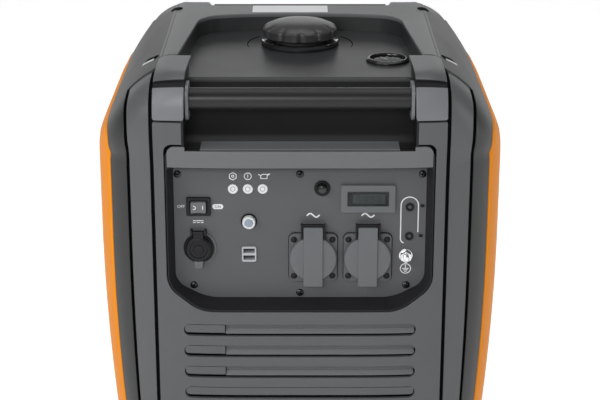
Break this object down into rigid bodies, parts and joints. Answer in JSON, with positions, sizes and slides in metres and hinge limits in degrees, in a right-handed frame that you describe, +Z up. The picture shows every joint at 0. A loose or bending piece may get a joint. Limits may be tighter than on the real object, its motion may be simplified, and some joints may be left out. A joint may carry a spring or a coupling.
{
  "type": "inverter generator",
  "caption": "Closed-frame petrol inverter generator with a recessed control panel, carrying bars front and rear, a top tray with fuel filler and orange side covers.",
  "frame": {"origin": "on the floor, under the middle of the case", "axes": "+Z up, -Y towards the control panel, +X to the right seen from the control panel"},
  "size_m": [0.434, 0.45, 0.5321],
  "materials": {
    "case_grey": "fine-grained moulded grey",
    "case_dark": "satin charcoal",
    "bracket_grey": "satin mid grey",
    "side_orange": "satin orange",
    "handle_black": "satin black",
    "panel_grey": "matte grey",
    "flap_grey": "matte mid grey",
    "control_black": "matte black",
    "usb_pale": "pale grey",
    "button_pale": "pale translucent grey",
    "lamp_white": "white lens",
    "clear_window": "clear",
    "foot_rubber": "matte black",
    "base_black": "textured black",
    "engine_aluminium": "cast",
    "bright_steel": "zinc plated",
    "rotor_iron": "machined",
    "winding_copper": "varnished copper winding"
  },
  "bodies": {
    "case": {"ac_socket_left": "control_black", "ac_socket_right": "control_black", "air_cleaner": "base_black", "base_tray": "base_black", "carburettor": "engine_aluminium", "control_panel": "panel_grey", "cylinder_head": "engine_aluminium", "dc_socket": "control_black", "display_bezel": "flap_grey", "display_window": "clear_window", "engine_block": "engine_aluminium", "filler_collar": "handle_black", "foot_front_left": "foot_rubber", "foot_front_right": "foot_rubber", "foot_rear_left": "foot_rubber", "foot_rear_right": "foot_rubber", "front_cover": "case_grey", "front_handle_bar": "handle_black", "fuel_tank": "base_black", "gauge_bezel": "handle_black", "gauge_lens": "clear_window", "ground_stud": "bright_steel", "inverter_module": "engine_aluminium", "lamp_oil": "lamp_white", "lamp_output": "lamp_white", "lamp_overload": "lamp_white", "left_handle_bracket": "bracket_grey", "left_hoop": "case_dark", "left_side_cover": "side_orange", "muffler": "bright_steel", "panel_bezel": "case_dark", "parallel_jack_lower": "control_black", "parallel_jack_upper": "control_black", "rear_cover": "case_grey", "rear_handle_bar": "handle_black", "recoil_cover": "base_black", "right_handle_bracket": "bracket_grey", "right_hoop": "case_dark", "right_side_cover": "side_orange", "spark_plug": "bright_steel", "stator": "winding_copper", "switch_frame": "control_black", "top_cover": "case_dark", "usb_socket": "usb_pale"},
    "cap_gasket": {"cap_gasket": "foot_rubber"},
    "fuel_cap": {"fuel_cap": "handle_black"},
    "ac_flap_left": {"ac_flap_left": "flap_grey"},
    "ac_flap_right": {"ac_flap_right": "flap_grey"},
    "dc_cap": {"dc_cap": "control_black"},
    "switch_rocker": {"switch_rocker": "control_black"},
    "breaker_button": {"breaker_button": "button_pale"},
    "reset_button": {"reset_button": "control_black"},
    "service_door": {"service_door": "side_orange"},
    "door_latch": {"door_latch": "control_black"},
    "recoil_grip": {"recoil_grip": "control_black"},
    "fuel_valve_knob": {"fuel_valve_knob": "control_black"},
    "crank_group": {"crankshaft": "bright_steel", "flywheel": "rotor_iron", "cooling_fan": "base_black"}
  },
  "joints": [
    {"name": "fuel_cap_lift", "type": "slide", "parent": "case", "child": "cap_gasket", "axis": [0, 0, 1], "range_m": [0, 0.08]},
    {"name": "fuel_cap_turn", "type": "hinge", "parent": "cap_gasket", "child": "fuel_cap", "pos_m": [0, 0.005, 0.5151], "axis": [0, 0, 1], "range_deg": [0, 90]},
    {"name": "ac_flap_left_hinge", "type": "hinge", "parent": "case", "child": "ac_flap_left", "pos_m": [0.0137, -0.208, 0.3645], "axis": [-1, 0, 0], "range_deg": [0, 110], "stiffness_Nm_per_rad": 0.02, "springref_deg": -17.19},
    {"name": "ac_flap_right_hinge", "type": "hinge", "parent": "case", "child": "ac_flap_right", "pos_m": [0.0705, -0.208, 0.3645], "axis": [-1, 0, 0], "range_deg": [0, 110], "stiffness_Nm_per_rad": 0.02, "springref_deg": -17.19},
    {"name": "dc_cap_hinge", "type": "hinge", "parent": "case", "child": "dc_cap", "pos_m": [-0.1055, -0.2056, 0.3555], "axis": [-1, 0, 0], "range_deg": [0, 110]},
    {"name": "switch_tilt", "type": "hinge", "parent": "case", "child": "switch_rocker", "pos_m": [-0.105, -0.202, 0.383], "axis": [0, 0, 1], "range_deg": [-7, 7]},
    {"name": "breaker_press", "type": "slide", "parent": "case", "child": "breaker_button", "axis": [0, 1, 0], "range_m": [0, 0.003], "stiffness_N_per_m": 300, "springref_m": -0.002},
    {"name": "reset_press", "type": "slide", "parent": "case", "child": "reset_button", "axis": [0, 1, 0], "range_m": [0, 0.003], "stiffness_N_per_m": 300, "springref_m": -0.002},
    {"name": "service_door_hinge", "type": "hinge", "parent": "case", "child": "service_door", "pos_m": [0.21693, -0.0394, 0.24], "axis": [0, 0, -1], "range_deg": [0, 95]},
    {"name": "door_latch_turn", "type": "hinge", "parent": "service_door", "child": "door_latch", "pos_m": [0.21292, 0.08, 0.24], "axis": [1, 0, 0], "range_deg": [0, 90]},
    {"name": "recoil_pull", "type": "slide", "parent": "case", "child": "recoil_grip", "axis": [-1, 0, 0], "range_m": [0, 0.3], "stiffness_N_per_m": 30, "springref_m": -0.1},
    {"name": "fuel_valve_turn", "type": "hinge", "parent": "case", "child": "fuel_valve_knob", "pos_m": [-0.1869, 0.044, 0.225], "axis": [-1, 0, 0], "range_deg": [0, 90]},
    {"name": "crank_spin", "type": "hinge", "parent": "case", "child": "crank_group", "pos_m": [-0.055, 0, 0.165], "axis": [1, 0, 0], "continuous": true}
  ]
}
